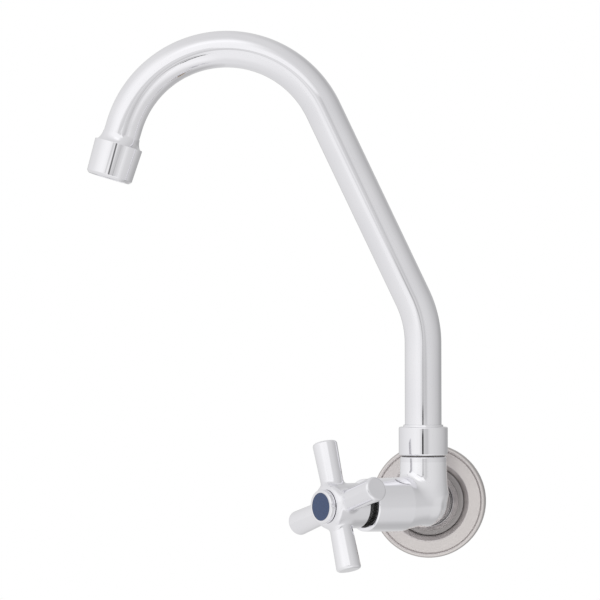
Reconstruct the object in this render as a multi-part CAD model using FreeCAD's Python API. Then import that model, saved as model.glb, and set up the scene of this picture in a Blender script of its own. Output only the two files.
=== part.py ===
import FreeCAD, Part
import math
import os
from FreeCAD import Placement, Rotation, Vector

# A single-supply wall faucet with a gooseneck spout and a four-armed handle.
# Millimetres and degrees. +Z is up, the wall is the plane y = 0 and the room is on its -Y side.
# The origin is the middle of the supply hole in the wall. Water comes in along -Y, passes a
# rising-spindle valve in the barrel, and leaves by the spout, which swings about the riser.

# Fits, as gaps between two radii or two faces
seated_fit = 0.04
running_fit = 0.08
thrust_gap = 0.10
swing_gap = 0.35

# Supply nipple: a parallel G 1/2 thread, screwed into the body and out through the wall
nipple_radius = 10.48
nipple_bore_radius = 7.0
nipple_behind_wall = 30.0
nipple_in_body = 14.0
nipple_chamfer = 1.2
nipple_relief_depth = 0.9
nipple_relief_behind = 1.2

# Pressed wall flange: a sunken middle, a sloping shoulder, a flat ring and a rolled bead
flange_radius = 30.0
flange_sheet = 0.8
flange_face_height = 5.4
flange_bead_radius = 1.3
flange_well_depth = 3.0
flange_shoulder_width = 2.7

# Body: an arm from the wall, a riser socket and a valve barrel, meeting in a round elbow
wall_to_riser = 38.0
body_radius = 12.3
collar_radius = 16.85
collar_height = 6.0
collar_round = 0.8
collar_gap = 1.5
flare_length = 8.6
body_fillet = 0.6
supply_radius = 5.5
socket_height = 24.4
socket_floor = 12.2
socket_chamfer = 0.3

# Valve barrel, measured outwards from the elbow's centre, square to the riser
barrel_angle = 45.0
barrel_length = 41.4
barrel_start = 10.4
barrel_round = 3.6
barrel_root_radius = 14.2
barrel_mouth_radius = 13.5
barrel_lip = 0.5
mouth_wall = 1.0
mouth_depth = 4.8
mouth_bevel = 1.0
chamber_radius = 9.4
port_radius = 2.4
port_spacing = 5.2
port_slope = 39.0

# Seat ring and the plunger that closes on it
seat_start = 10.6
seat_radius = 6.0
seat_hole_radius = 4.2
seat_height = 4.0
seat_lip_width = 0.9
seat_lip_height = 0.6
washer_radius = 6.4
washer_thickness = 3.0
jumper_radius = 7.2
jumper_plate = 2.0
jumper_pin_radius = 2.4
jumper_pin_length = 9.0
washer_nut_width = 5.5
washer_nut_height = 2.0

# Spindle: 2 mm of lift a turn
thread_pitch = 2.0
valve_turns = 2.25
spindle_thread_radius = 6.2
stem_radius = 4.0
drive_square = 5.6

# Headwork that closes the barrel
bonnet_radius = 10.6
bonnet_head = 1.9
bonnet_floor = 2.4
bonnet_neck_radius = 8.5
bonnet_neck_length = 6.8
gasket_thickness = 0.8
packing_radius = 6.2
packing_box_depth = 6.45
gland_plug = 3.2
gland_head = 2.6
gland_width = 13.0
sleeve_wall = 1.4
sleeve_flange = 1.3
sleeve_length = 11.2

# Cross handle, measured along the barrel's axis
handle_roll = 17.1
skirt_gap = 2.9
skirt_radius = 11.6
skirt_wall = 1.1
skirt_depth = 7.3
hub_length = 21.0
hub_front_radius = 9.0
arm_height = 13.6
arm_reach = 33.8
arm_root_radius = 5.8
arm_tip_radius = 6.35
arm_tip_round = 1.4
arm_fillet = 1.2
screw_recess_radius = 7.4
screw_recess_depth = 4.4
screw_radius = 2.0
screw_length = 11.0
screw_head_radius = 3.8
screw_head_height = 2.0
screw_head_round = 1.0

# Index cap and its disc
cap_radius = 8.8
cap_height = 3.2
cap_round = 0.9
cap_spigot_length = 2.6
cap_spigot_wall = 1.4
cap_web = 1.3
disc_radius = 7.05
disc_thickness = 0.7
disc_recess = 0.9

# Spout nut and the spout's foot
nut_radius = 12.75
nut_wall = 1.1
nut_height = 14.8
nut_seam = 0.6
nut_top = 2.7
nut_round = 0.9
nut_lip_wall = 0.5
nut_lip_height = 1.1
spigot_wall = 1.2
spigot_height = 8.6
washer_slip = 0.8
foot_flange_radius = 11.2
foot_flange_thickness = 2.0
foot_bore_radius = 7.0
foot_length = 20.6
foot_stub = 8.0
ring_section_radius = 0.7
ring_spacing = 5.0
ring_margin = 5.4

# Spout tube: 3/4 inch tube, 1 mm wall. A leaning riser, then a crook that turns back down
tube_radius = 9.525
tube_wall = 1.0
spout_parked = 82.5
riser_height = 95.8
riser_bend_radius = 56.0
riser_lean = 25.35
lean_length = 120.7
crook_radius = 55.6
crook_turn = 138.0
outlet_straight_length = 10.4

# Outlet: a flared ferrule on the tube and an aerator screwed onto it
ferrule_radius = 11.6
ferrule_flare = 5.0
ferrule_edge = 0.25
ferrule_seat = 3.0
ferrule_spigot = 7.0
shell_radius = 12.7
shell_wall = 1.7
shell_length = 18.5
shell_chamfer = 1.0
shell_top_round = 0.3
shell_lip = 1.5
outlet_hole_radius = 9.4
outlet_washer_thickness = 1.6
outlet_washer_width = 2.2
insert_wall = 1.1
insert_plate = 1.2
plate_holes = 12
plate_hole_radius = 0.9
plate_hole_circle = 6.6
grid_depth = 1.8
grid_rib = 0.8
grid_cells = 5
screen_count = 3
screen_thickness = 0.4
screen_spacing = 1.6

# Directions, in space and in an outline's radius-height plane
ORIGIN = Vector(0, 0, 0)
RIGHT = Vector(1, 0, 0)
UP = Vector(0, 0, 1)
OUTWARD = (1, 0)
INWARD = (-1, 0)
RISING = (0, 1)

# Sides of a hexagonal nut
HEXAGON = 6

# Sizes that follow from others
valve_lift = thread_pitch * valve_turns
tube_bore_radius = tube_radius - tube_wall
flange_well_radius = collar_radius + collar_gap
nipple_hole_radius = nipple_radius + swing_gap
nut_thread_radius = nut_radius - nut_wall
spigot_radius = nut_thread_radius - seated_fit
socket_bore_radius = spigot_radius - spigot_wall
foot_radius = socket_bore_radius - running_fit
mouth_radius = barrel_mouth_radius - mouth_wall
sleeve_radius = bonnet_neck_radius + seated_fit + sleeve_wall
bonnet_cavity_radius = spindle_thread_radius + running_fit
stem_hole_radius = stem_radius + running_fit
shell_bore_radius = shell_radius - shell_wall
insert_radius = shell_bore_radius - seated_fit

# Heights up the riser, from the elbow's centre
spigot_top = socket_height + spigot_height
foot_flange_bottom = spigot_top + washer_slip + thrust_gap
foot_flange_top = foot_flange_bottom + foot_flange_thickness
nut_bottom = socket_height + nut_seam
nut_shoulder = nut_bottom + nut_height
nut_ceiling = nut_shoulder - nut_top

# Distances along the barrel, from the elbow's centre
seat_face = seat_start + seat_height
seat_lip_face = seat_face + seat_lip_height
washer_face = seat_lip_face + thrust_gap
plate_face = washer_face + washer_thickness
plate_back = plate_face + jumper_plate
spindle_foot = plate_back + thrust_gap
mouth_floor = barrel_length - mouth_depth
bonnet_seat = mouth_floor + gasket_thickness
bonnet_face = bonnet_seat + bonnet_head
bonnet_foot = plate_back + valve_lift + swing_gap
neck_top = bonnet_face + bonnet_neck_length
packing_floor = neck_top - packing_box_depth
cavity_top = packing_floor - bonnet_floor
spindle_shoulder = cavity_top - valve_lift - swing_gap
gland_foot = neck_top - gland_plug
gland_top = neck_top + gland_head
skirt_rear = barrel_length + skirt_gap
web_rear = skirt_rear + skirt_depth
hub_front = skirt_rear + hub_length
web_front = hub_front - screw_recess_depth
drive_end = web_front - thrust_gap
arm_centre = skirt_rear + arm_height
cap_front = hub_front + cap_height


def outline(start, *steps):
    """Edges in the radius-height plane. A step is a corner, or (middle, end) of an arc."""
    edges = []
    here = start
    for step in steps:
        if isinstance(step[0], tuple):
            middle, there = step
            points = [Vector(radius, 0, height) for radius, height in (here, middle, there)]
            edges.append(Part.Arc(*points).toShape())
        else:
            there = step
            points = [Vector(radius, 0, height) for radius, height in (here, there)]
            edges.append(Part.LineSegment(*points).toShape())
        here = there
    return edges


def turned(start, *steps):
    """Solid turned about Z from a closed outline."""
    face = Part.Face(Part.Wire(outline(start, *steps, start)))
    return face.revolve(ORIGIN, UP, 360)


def ring(outer, inner, low, high):
    """Plain ring or sleeve about Z."""
    return turned((inner, low), (outer, low), (outer, high), (inner, high))


def rod(radius, low, high):
    """Plain cylinder about Z."""
    return Part.makeCylinder(radius, high - low, Vector(0, 0, low))


def hexagon(width, low, high):
    """Hexagonal prism about Z, width across its flats."""
    corner = Vector(width / 2 / math.cos(math.pi / HEXAGON), 0, low)
    corners = [Rotation(UP, 360 / HEXAGON * turn).multVec(corner) for turn in range(HEXAGON)]
    return Part.Face(Part.makePolygon(corners + [corner])).extrude(Vector(0, 0, high - low))


def rounded(corner, radius, arrive, leave):
    """Two outline steps round a square corner: where the arc starts, then the arc."""
    bite = radius * (1 - math.sqrt(0.5))
    start = (corner[0] - arrive[0] * radius, corner[1] - arrive[1] * radius)
    middle = (corner[0] + (leave[0] - arrive[0]) * bite, corner[1] + (leave[1] - arrive[1]) * bite)
    end = (corner[0] + leave[0] * radius, corner[1] + leave[1] * radius)
    return start, (middle, end)


def hollow_flare(wide, narrow):
    """Outline arc from a wide corner to a narrow one, where it runs along the axis."""
    run = wide[0] - narrow[0]
    rise = narrow[1] - wide[1]
    radius = (rise ** 2 + run ** 2) / (2 * run)
    half_turn = math.asin(rise / radius) / 2
    middle_radius = narrow[0] + radius * (1 - math.cos(half_turn))
    middle_height = narrow[1] - radius * math.sin(half_turn)
    return (middle_radius, middle_height), narrow


def frame(origin, along, across):
    """Placement whose Z runs along one direction and whose X runs across it."""
    return Placement(origin, Rotation(across, Vector(), along, "ZXY"))


def placed(shape, place):
    """The shape moved from a local frame to the faucet's."""
    moved = shape.copy()
    moved.Placement = place.multiply(moved.Placement)
    return moved


def flat_direction(angle):
    """Level direction, turned from straight out of the wall towards -X."""
    turn = math.radians(angle)
    return Vector(-math.sin(turn), -math.cos(turn), 0)


elbow = Vector(0, -wall_to_riser, 0)
barrel_direction = flat_direction(barrel_angle)
spout_direction = flat_direction(spout_parked)
wall_frame = frame(ORIGIN, flat_direction(0), RIGHT)
riser_frame = frame(elbow, UP, RIGHT)
barrel_frame = frame(elbow, barrel_direction, UP.cross(barrel_direction))
handle_frame = barrel_frame.multiply(Placement(ORIGIN, Rotation(UP, handle_roll)))


def spout_heading(heading):
    """Direction in the spout's plane, tilted from straight up towards the outlet."""
    turn = math.radians(heading)
    return UP * math.cos(turn) + spout_direction * math.sin(turn)


def walk(here, heading, steps):
    """Centreline edges, end and heading of a path: each step is (length, turn)."""
    edges = []
    for length, turn in steps:
        if turn:
            radius = length / math.radians(turn)
            half_chord = 2 * radius * math.sin(math.radians(turn / 4))
            full_chord = 2 * radius * math.sin(math.radians(turn / 2))
            middle = here + spout_heading(heading + turn / 4) * half_chord
            there = here + spout_heading(heading + turn / 2) * full_chord
            edges.append(Part.Arc(here, middle, there).toShape())
        else:
            there = here + spout_heading(heading) * length
            edges.append(Part.LineSegment(here, there).toShape())
        here = there
        heading = heading + turn
    return edges, here, heading


def spout_path():
    """The tube's centreline, from the foot's flange to its end inside the ferrule."""
    tangent = riser_bend_radius * math.tan(math.radians(riser_lean / 2))
    steps = [
        (riser_height - tangent - foot_flange_top, 0),
        (riser_bend_radius * math.radians(riser_lean), riser_lean),
        (lean_length - tangent, 0),
        (crook_radius * math.radians(crook_turn), crook_turn),
        (outlet_straight_length + ferrule_seat, 0),
    ]
    return walk(elbow + UP * foot_flange_top, 0, steps)


spout_edges, spout_end, outlet_heading = spout_path()
outlet_direction = spout_heading(outlet_heading)
shell_top = spout_end - outlet_direction * ferrule_seat
outlet_frame = frame(shell_top, outlet_direction, UP.cross(spout_direction))


def wall_flange():
    """Pressed disc: its sunken middle is held on the wall by the body's collar."""
    shoulder_radius = flange_well_radius + flange_shoulder_width
    well_rim = flange_face_height - flange_well_depth + flange_sheet
    bead_inner = flange_radius - 2 * flange_bead_radius
    bead_crest = (flange_radius - flange_bead_radius, flange_face_height + flange_bead_radius)
    front = Part.Wire(outline(
        (nipple_hole_radius, flange_sheet),
        (flange_well_radius, flange_sheet),
        (flange_well_radius, well_rim),
        (shoulder_radius, flange_face_height),
        (bead_inner, flange_face_height),
        (bead_crest, (flange_radius, flange_face_height)),
        (flange_radius, 0),
    ))
    sheet = front.makeOffset2D(-flange_sheet, 0, True, True, False)
    return placed(sheet.revolve(ORIGIN, UP, 360), wall_frame)


def inlet_nipple():
    """Supply nipple: a thread in the body, a relief through the flange, a thread in the wall."""
    top = flange_sheet + nipple_in_body
    chamfered = nipple_radius - nipple_chamfer
    relieved = nipple_radius - nipple_relief_depth
    nipple = turned(
        (nipple_bore_radius, -nipple_behind_wall),
        (chamfered, -nipple_behind_wall),
        (nipple_radius, nipple_chamfer - nipple_behind_wall),
        (nipple_radius, -nipple_relief_behind),
        (relieved, -nipple_relief_behind),
        (relieved, flange_sheet),
        (nipple_radius, flange_sheet),
        (nipple_radius, top - nipple_chamfer),
        (chamfered, top),
        (nipple_bore_radius, top),
    )
    return placed(nipple, wall_frame)


def body_arm():
    """Arm from the wall to the elbow, flared to a collar over the flange."""
    collar_front = (collar_radius, collar_height)
    flare_foot = (collar_radius - collar_round, collar_height)
    flare_end = (body_radius, collar_height + flare_length)
    arm = turned(
        (0, flange_sheet),
        (collar_radius, flange_sheet),
        *rounded(collar_front, collar_round, RISING, INWARD),
        hollow_flare(flare_foot, flare_end),
        (body_radius, wall_to_riser),
        (0, wall_to_riser),
    )
    return placed(arm, wall_frame)


def body_socket():
    """Upright socket on the elbow, with a threaded spigot that the spout nut screws onto."""
    socket = turned(
        (0, 0),
        (body_radius, 0),
        (body_radius, socket_height - socket_chamfer),
        (body_radius - socket_chamfer, socket_height),
        (spigot_radius, socket_height),
        (spigot_radius, spigot_top - socket_chamfer),
        (spigot_radius - socket_chamfer, spigot_top),
        (0, spigot_top),
    )
    return placed(socket, riser_frame)


def body_barrel():
    """Valve barrel: a neck from the elbow, then a drafted cylinder with an open mouth."""
    root_corner = (barrel_root_radius, barrel_start)
    mouth_corner = (barrel_mouth_radius, barrel_length)
    rim_width = mouth_wall - barrel_lip
    barrel = turned(
        (0, barrel_start),
        *rounded(root_corner, barrel_round, OUTWARD, RISING),
        *rounded(mouth_corner, barrel_lip, RISING, INWARD),
        (mouth_radius + rim_width / 2, barrel_length),
        (mouth_radius, barrel_length - mouth_bevel),
        (mouth_radius, mouth_floor),
        (0, mouth_floor),
    )
    return placed(barrel.fuse(rod(body_radius, 0, barrel_start + barrel_round)), barrel_frame)


def body_waterways():
    """Everything bored out of the body: supply, seat, chamber, ports and spout socket."""
    supply_top = flange_sheet + nipple_in_body
    from_wall = rod(nipple_radius + seated_fit, 0, supply_top)
    from_wall = from_wall.fuse(rod(supply_radius, supply_top, wall_to_riser))
    bores = placed(from_wall, wall_frame)
    bores = bores.fuse(Part.makeSphere(supply_radius, elbow))
    along_barrel = rod(seat_hole_radius, 0, seat_start)
    along_barrel = along_barrel.fuse(rod(seat_radius + seated_fit, seat_start, seat_face))
    along_barrel = along_barrel.fuse(rod(chamber_radius, seat_face, bonnet_foot))
    along_barrel = along_barrel.fuse(rod(bonnet_radius + seated_fit, bonnet_foot, mouth_floor))
    bores = bores.fuse(placed(along_barrel, barrel_frame))
    bores = bores.fuse(placed(rod(socket_bore_radius, socket_floor, spigot_top), riser_frame))
    return bores.fuse(outlet_ports())


def outlet_ports():
    """Three slanting ports from the valve chamber up to the floor of the spout socket."""
    slope = math.radians(port_slope)
    down = barrel_direction * math.cos(slope) - UP * math.sin(slope)
    across = UP.cross(barrel_direction)
    start = elbow + UP * (socket_floor + port_radius) + barrel_direction * (seat_face / 2)
    length = (socket_floor - seat_radius / 2) / math.sin(slope)
    ports = [
        Part.makeCylinder(port_radius, length, start + across * (port_spacing * side), down)
        for side in (-1, 0, 1)
    ]
    return ports[0].fuse(ports[1:])


def valve_body():
    """Cast body: arm, elbow, socket and barrel in one piece, with its waterways."""
    casting = body_arm().fuse([
        Part.makeSphere(body_radius, elbow),
        body_socket(),
        body_barrel(),
    ])
    casting = casting.removeSplitter()
    creases = [
        edge for edge in casting.Edges
        if not edge.Degenerated and isinstance(edge.Curve, (Part.Ellipse, Part.BSplineCurve))
    ]
    casting = casting.makeFillet(body_fillet, creases)
    return casting.cut(body_waterways()).removeSplitter()


def seat_ring():
    """Screwed-in seat with a raised lip round its orifice."""
    lip_outer = seat_hole_radius + seat_lip_width
    seat = turned(
        (seat_hole_radius, seat_start),
        (seat_radius, seat_start),
        (seat_radius, seat_face),
        (lip_outer, seat_face),
        (lip_outer, seat_lip_face),
        (seat_hole_radius, seat_lip_face),
    )
    return placed(seat, barrel_frame)


def seat_washer():
    """Rubber washer that closes on the seat."""
    washer = ring(washer_radius, jumper_pin_radius + seated_fit, washer_face, plate_face)
    return placed(washer, barrel_frame)


def jumper_valve():
    """Jumper: a plate behind the washer, a stud through it and a pin up into the spindle."""
    stud_end = washer_face - washer_nut_height
    jumper = rod(jumper_pin_radius, stud_end, plate_back + jumper_pin_length)
    jumper = jumper.fuse(rod(jumper_radius, plate_face, plate_back))
    return placed(jumper, barrel_frame)


def washer_nut():
    """Nut that holds the washer against the jumper's plate."""
    nut = hexagon(washer_nut_width, washer_face - washer_nut_height, washer_face)
    return placed(nut.cut(rod(jumper_pin_radius + seated_fit, 0, washer_face)), barrel_frame)


def spindle():
    """Rising spindle: lifting thread, smooth stem and the square that drives the handle."""
    shaft = rod(spindle_thread_radius, spindle_foot, spindle_shoulder)
    shaft = shaft.fuse(rod(stem_radius, spindle_shoulder, web_rear))
    corner = Vector(-drive_square / 2, -drive_square / 2, web_rear)
    shaft = shaft.fuse(Part.makeBox(drive_square, drive_square, drive_end - web_rear, corner))
    pin_hole = jumper_pin_radius + running_fit
    shaft = shaft.cut(rod(pin_hole, spindle_foot, plate_back + jumper_pin_length + swing_gap))
    shaft = shaft.cut(rod(screw_radius + seated_fit, web_front - screw_length, drive_end))
    return placed(shaft, handle_frame)


def bonnet_gasket():
    """Fibre ring between the bonnet's head and the floor of the barrel's mouth."""
    gasket = ring(mouth_radius - seated_fit, bonnet_radius + seated_fit, mouth_floor, bonnet_seat)
    return placed(gasket, barrel_frame)


def bonnet():
    """Screwed-in headwork: lifting thread inside, packing box and neck above."""
    body = turned(
        (bonnet_cavity_radius, bonnet_foot),
        (bonnet_radius, bonnet_foot),
        (bonnet_radius, bonnet_seat),
        (mouth_radius - seated_fit, bonnet_seat),
        (mouth_radius - seated_fit, bonnet_face),
        (bonnet_neck_radius, bonnet_face),
        (bonnet_neck_radius, neck_top),
        (packing_radius + seated_fit, neck_top),
        (packing_radius + seated_fit, packing_floor),
        (stem_hole_radius, packing_floor),
        (stem_hole_radius, cavity_top),
        (bonnet_cavity_radius, cavity_top),
    )
    return placed(body, barrel_frame)


def stem_packing():
    """Packing ring squeezed round the stem."""
    packing = ring(packing_radius, stem_hole_radius, packing_floor, gland_foot)
    return placed(packing, barrel_frame)


def gland_nut():
    """Nut that presses on the packing."""
    nut = rod(packing_radius, gland_foot, neck_top).fuse(hexagon(gland_width, neck_top, gland_top))
    return placed(nut.cut(rod(stem_hole_radius, gland_foot, gland_top)), barrel_frame)


def dust_sleeve():
    """Black sleeve that fills the barrel's mouth and runs up inside the handle's skirt."""
    bore = bonnet_neck_radius + seated_fit
    rim = mouth_radius - seated_fit
    sleeve = turned(
        (bore, bonnet_face),
        (rim, bonnet_face),
        (rim, bonnet_face + sleeve_flange),
        (sleeve_radius, bonnet_face + sleeve_flange),
        (sleeve_radius, bonnet_face + sleeve_length),
        (bore, bonnet_face + sleeve_length),
    )
    return placed(sleeve, barrel_frame)


def handle_arm(side):
    """One round arm with a rounded-off tip, square to the barrel."""
    tip = (arm_tip_radius, arm_reach)
    arm = turned(
        (0, 0),
        (arm_root_radius, 0),
        (arm_root_radius, skirt_radius - skirt_wall),
        *rounded(tip, arm_tip_round, RISING, INWARD),
        (0, arm_reach),
    )
    outward = Rotation(UP, 90 * side).multVec(Vector(0, 1, 0))
    return placed(arm, frame(UP * arm_centre, outward, UP))


def cross_handle():
    """Four-armed handle: a skirted hub, its arms, the square hole and the screw recess."""
    front_corner = (skirt_radius, hub_front)
    front_round = skirt_radius - hub_front_radius
    hub = turned(
        (0, skirt_rear),
        (skirt_radius, skirt_rear),
        *rounded(front_corner, front_round, RISING, INWARD),
        (0, hub_front),
    )
    handle = hub.fuse([handle_arm(side) for side in range(4)])
    roots = [edge for edge in handle.Edges if isinstance(edge.Curve, Part.BSplineCurve)]
    handle = handle.makeFillet(arm_fillet, roots)
    handle = handle.cut(rod(skirt_radius - skirt_wall, skirt_rear, web_rear))
    handle = handle.cut(rod(screw_recess_radius, web_front, hub_front))
    hole = drive_square + 2 * seated_fit
    corner = Vector(-hole / 2, -hole / 2, web_rear)
    handle = handle.cut(Part.makeBox(hole, hole, web_front - web_rear, corner))
    return placed(handle, handle_frame)


def handle_screw():
    """Pan-head screw that holds the handle on the spindle."""
    screw = rod(screw_radius, web_front - screw_length, web_front)
    head_top = web_front + screw_head_height
    head = turned(
        (0, web_front),
        (screw_head_radius, web_front),
        *rounded((screw_head_radius, head_top), screw_head_round, RISING, INWARD),
        (0, head_top),
    )
    return placed(screw.fuse(head), handle_frame)


def index_cap():
    """Round cap snapped into the hub, with a shallow recess for the index disc."""
    plug_radius = screw_recess_radius - seated_fit
    plug_bore = plug_radius - cap_spigot_wall
    recess_floor = cap_front - disc_recess
    cap = turned(
        (0, recess_floor - cap_web),
        (plug_bore, recess_floor - cap_web),
        (plug_bore, hub_front - cap_spigot_length),
        (plug_radius, hub_front - cap_spigot_length),
        (plug_radius, hub_front),
        (cap_radius, hub_front),
        *rounded((cap_radius, cap_front), cap_round, RISING, INWARD),
        (disc_radius + seated_fit, cap_front),
        (disc_radius + seated_fit, recess_floor),
        (0, recess_floor),
    )
    return placed(cap, handle_frame)


def index_disc():
    """Coloured index disc, just below the cap's rim."""
    recess_floor = cap_front - disc_recess
    return placed(rod(disc_radius, recess_floor, recess_floor + disc_thickness), handle_frame)


def spout_nut():
    """Plain round nut that holds the spout's foot down and hides it."""
    lip_hole = tube_radius + swing_gap
    nut = turned(
        (nut_thread_radius, nut_bottom),
        *rounded((nut_radius, nut_bottom), nut_round, OUTWARD, RISING),
        *rounded((nut_radius, nut_shoulder), nut_round, RISING, INWARD),
        (lip_hole + nut_lip_wall, nut_shoulder),
        (lip_hole + nut_lip_wall, nut_shoulder + nut_lip_height),
        (lip_hole, nut_shoulder + nut_lip_height),
        (lip_hole, nut_ceiling),
        (nut_thread_radius, nut_ceiling),
    )
    return placed(nut, riser_frame)


def thrust_washer():
    """Slip washer between the socket's rim and the flange on the spout's foot."""
    washer = ring(foot_flange_radius, socket_bore_radius, spigot_top, spigot_top + washer_slip)
    return placed(washer, riser_frame)


def slip_ring():
    """Slip ring between the nut and the flange on the spout's foot."""
    bore = tube_radius + swing_gap
    slip = ring(foot_flange_radius, bore, foot_flange_top + thrust_gap, nut_ceiling)
    return placed(slip, riser_frame)


def spout_foot():
    """Machined foot brazed into the tube: a flange, and a stem with two ring grooves."""
    bottom = foot_flange_bottom - foot_length
    groove_radius = foot_radius - 2 * ring_section_radius
    half_groove = ring_section_radius + running_fit
    stub_top = foot_flange_top + foot_stub
    foot = turned(
        (foot_bore_radius, bottom),
        (foot_radius, bottom),
        (foot_radius, foot_flange_bottom),
        (foot_flange_radius, foot_flange_bottom),
        (foot_flange_radius, foot_flange_top),
        (tube_bore_radius - seated_fit, foot_flange_top),
        (tube_bore_radius - seated_fit, stub_top),
        (foot_bore_radius, stub_top),
    )
    for height in ring_heights():
        top = height + half_groove
        groove = ring(socket_bore_radius, groove_radius, height - half_groove, top)
        foot = foot.cut(groove)
    return placed(foot, riser_frame)


def ring_heights():
    """Heights of the two sealing rings on the spout's foot."""
    low = foot_flange_bottom - foot_length + ring_margin
    return low, low + ring_spacing


def spout_rings():
    """Two rubber rings that seal the foot in its socket."""
    centre = foot_radius - ring_section_radius
    rings = []
    for height in ring_heights():
        torus = Part.makeTorus(centre, ring_section_radius, Vector(0, 0, height), UP)
        rings.append(placed(torus, riser_frame))
    return Part.makeCompound(rings)


def spout_tube():
    """Gooseneck tube, swept along its centreline and open right through."""
    path = Part.Wire(spout_edges)
    base = elbow + UP * foot_flange_top
    outside = path.makePipeShell([Part.Wire(Part.makeCircle(tube_radius, base, UP))], True, True)
    bore = path.makePipeShell([Part.Wire(Part.makeCircle(tube_bore_radius, base, UP))], True, True)
    return outside.cut(bore)


def outlet_ferrule():
    """Ferrule brazed on the tube's end: a hollow flare outside and a threaded spigot below."""
    tube_hole = tube_radius + seated_fit
    spigot = shell_bore_radius - seated_fit
    flare = hollow_flare((ferrule_radius, 0), (tube_hole + ferrule_edge, -ferrule_flare))
    ferrule = turned(
        (tube_hole, -ferrule_flare),
        (tube_hole, ferrule_seat),
        (tube_bore_radius, ferrule_seat),
        (tube_bore_radius, ferrule_spigot),
        (spigot, ferrule_spigot),
        (spigot, 0),
        (ferrule_radius, 0),
        flare,
    )
    return placed(ferrule, outlet_frame)


def aerator_shell():
    """Aerator housing: a plain round shell with a lip that keeps the insert in."""
    shell = turned(
        (shell_bore_radius, 0),
        *rounded((shell_radius, 0), shell_top_round, OUTWARD, RISING),
        (shell_radius, shell_length - shell_chamfer),
        (shell_radius - shell_chamfer, shell_length),
        (outlet_hole_radius, shell_length),
        (outlet_hole_radius, shell_length - shell_lip),
        (shell_bore_radius, shell_length - shell_lip),
    )
    return placed(shell, outlet_frame)


def aerator_washer():
    """Rubber washer between the ferrule and the aerator insert."""
    bottom = ferrule_spigot + outlet_washer_thickness
    bore = insert_radius - outlet_washer_width
    return placed(ring(insert_radius, bore, ferrule_spigot, bottom), outlet_frame)


def aerator_insert():
    """Aerator insert: a cup with a drilled jet plate above and a square grid below."""
    top = ferrule_spigot + outlet_washer_thickness
    bottom = shell_length - shell_lip
    inner = insert_radius - insert_wall
    insert = ring(insert_radius, inner, top, bottom)
    plate = rod(inner + insert_wall / 2, top, top + insert_plate)
    for turn in range(plate_holes):
        centre = Rotation(UP, 360 / plate_holes * turn).multVec(Vector(plate_hole_circle, 0, top))
        plate = plate.cut(Part.makeCylinder(plate_hole_radius, insert_plate, centre))
    grid = rod(inner + insert_wall / 2, bottom - grid_depth, bottom)
    insert = insert.fuse(plate).fuse(grid.common(grid_bars(inner, bottom)))
    return placed(insert.removeSplitter(), outlet_frame)


def grid_bars(reach, bottom):
    """Crossed bars of the outlet grid."""
    pitch = 2 * reach / grid_cells
    length = 2 * (reach + insert_wall)
    bars = []
    for number in range(1, grid_cells):
        offset = number * pitch - reach - grid_rib / 2
        corner = Vector(offset, -length / 2, bottom - grid_depth)
        bar = Part.makeBox(grid_rib, length, grid_depth, corner)
        bars.append(bar)
        bars.append(bar.rotated(ORIGIN, UP, 90))
    return bars[0].fuse(bars[1:])


def aerator_screens():
    """Stack of fine screens in the insert."""
    radius = insert_radius - insert_wall - seated_fit
    first = ferrule_spigot + outlet_washer_thickness + insert_plate + screen_spacing
    screens = []
    for number in range(screen_count):
        low = first + number * screen_spacing
        screens.append(placed(rod(radius, low, low + screen_thickness), outlet_frame))
    return Part.makeCompound(screens)


SUBPARTS = [
    wall_flange, inlet_nipple, valve_body, seat_ring, bonnet_gasket, bonnet, stem_packing,
    gland_nut, dust_sleeve, thrust_washer, slip_ring, spout_nut,
    jumper_valve, seat_washer, washer_nut,
    spindle, cross_handle, handle_screw, index_cap, index_disc,
    spout_foot, spout_rings, spout_tube, outlet_ferrule,
    aerator_shell, aerator_washer, aerator_insert, aerator_screens,
]

os.makedirs("parts", exist_ok=True)
for subpart in SUBPARTS:
    subpart().exportStep("parts/" + subpart.__name__ + ".step")
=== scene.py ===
import math

import bmesh
import bpy
import numpy as np
from mathutils import Matrix, Vector


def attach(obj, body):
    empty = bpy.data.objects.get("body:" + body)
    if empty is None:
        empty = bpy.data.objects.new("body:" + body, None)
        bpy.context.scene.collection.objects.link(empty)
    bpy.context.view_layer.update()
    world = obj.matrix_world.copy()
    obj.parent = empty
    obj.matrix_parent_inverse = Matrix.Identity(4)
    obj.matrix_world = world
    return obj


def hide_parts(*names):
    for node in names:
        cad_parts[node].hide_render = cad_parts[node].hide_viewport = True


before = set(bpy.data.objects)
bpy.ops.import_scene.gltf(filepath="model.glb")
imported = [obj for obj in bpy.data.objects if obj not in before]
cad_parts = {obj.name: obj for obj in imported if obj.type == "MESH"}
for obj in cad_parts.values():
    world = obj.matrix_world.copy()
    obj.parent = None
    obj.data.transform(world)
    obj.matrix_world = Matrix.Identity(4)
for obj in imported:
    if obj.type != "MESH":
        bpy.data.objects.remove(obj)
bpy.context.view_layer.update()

# Blender's lengths are metres. Shapes are drawn in millimetres and scaled by MM when they are
# put in place; materials and the studio are written in metres.
MM = 0.001

# Frames of the faucet: the wall, the riser, the valve barrel, the handle and the outlet
WALL_TO_RISER = 38.0
ELBOW = Vector((0, -WALL_TO_RISER, 0))
UP = Vector((0, 0, 1))
BARREL_WAY = Vector((-math.sqrt(0.5), -math.sqrt(0.5), 0))
SPOUT_TURN = math.radians(82.5)
SPOUT_WAY = Vector((-math.sin(SPOUT_TURN), -math.cos(SPOUT_TURN), 0))
HANDLE_ROLL = math.radians(17.1)


def axes(origin, along, across):
    """Matrix whose Z runs along one direction and whose X runs across it, in millimetres."""
    side = along.cross(across)
    turn = Matrix((across, side, along)).transposed().to_4x4()
    return Matrix.Translation(origin) @ turn


WALL = axes(Vector(), Vector((0, -1, 0)), Vector((1, 0, 0)))
RISER = axes(ELBOW, UP, Vector((1, 0, 0)))
BARREL = axes(ELBOW, BARREL_WAY, UP.cross(BARREL_WAY))
HANDLE = BARREL @ Matrix.Rotation(HANDLE_ROLL, 4, "Z")

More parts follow.
